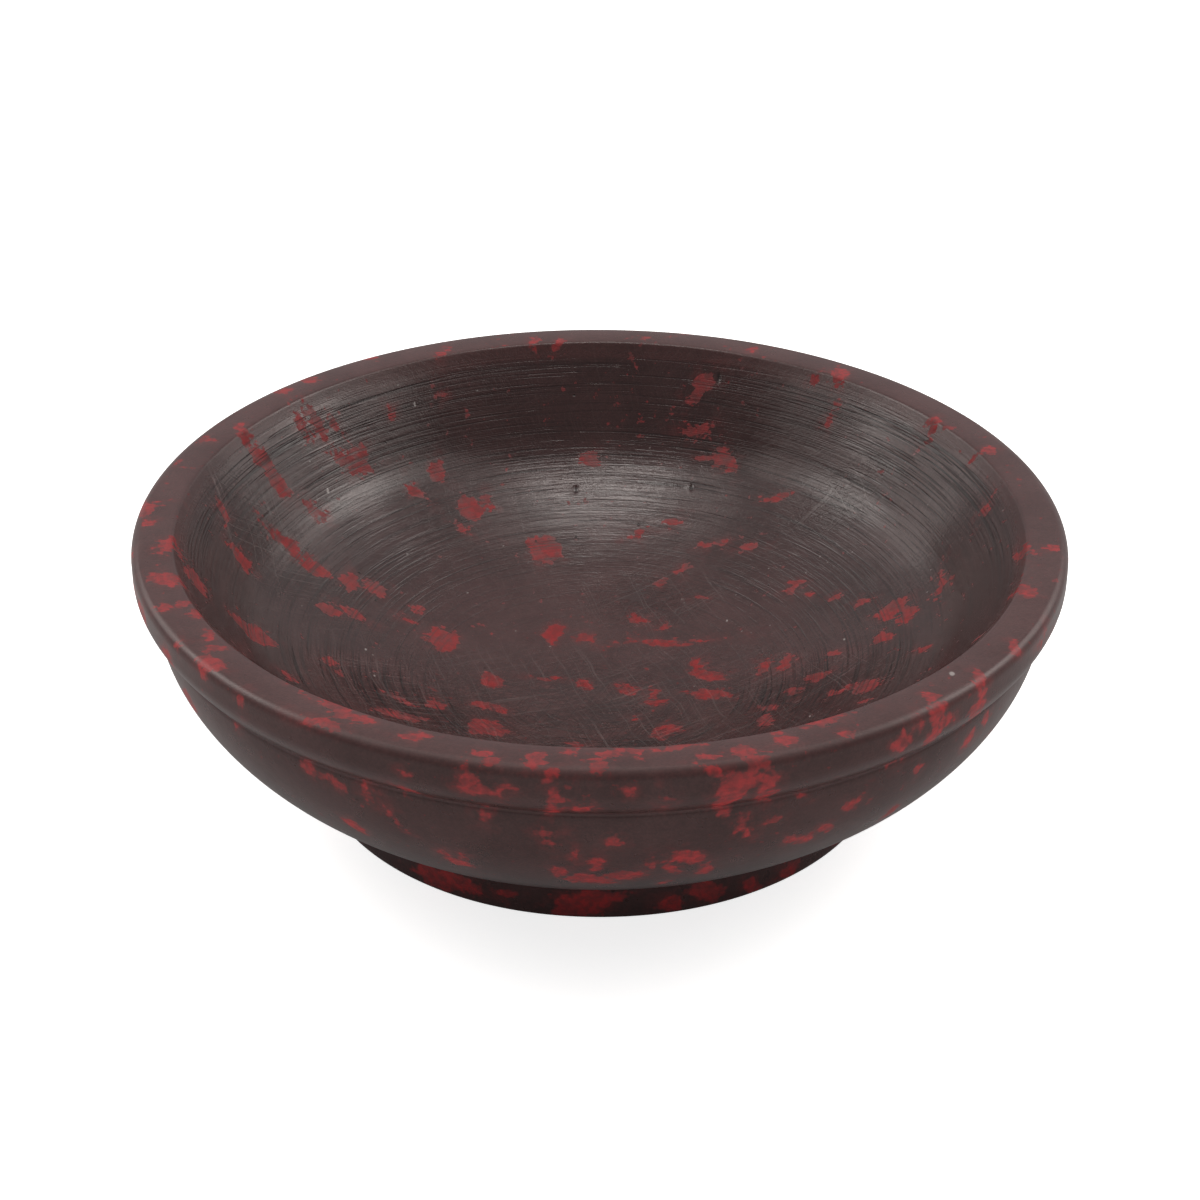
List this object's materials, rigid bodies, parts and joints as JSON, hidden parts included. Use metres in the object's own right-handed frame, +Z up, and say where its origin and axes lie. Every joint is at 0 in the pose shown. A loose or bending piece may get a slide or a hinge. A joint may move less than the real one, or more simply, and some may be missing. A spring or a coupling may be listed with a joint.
{
  "type": "incense bowl",
  "caption": "Shallow round bowl turned from one block of dark mottled soapstone, with a flat rim, an incised line below a band, a rounded belly and a low foot, for burning incense.",
  "frame": {"origin": "centre of the flat base, on the surface that the bowl stands on", "axes": "+Z up along the turning axis, towards the open mouth"},
  "size_m": [0.1, 0.1, 0.0301],
  "materials": {
    "stone": "satin, dark maroon brown with red flecks"
  },
  "bodies": {
    "root": {"bowl": "stone"}
  },
  "joints": []
}
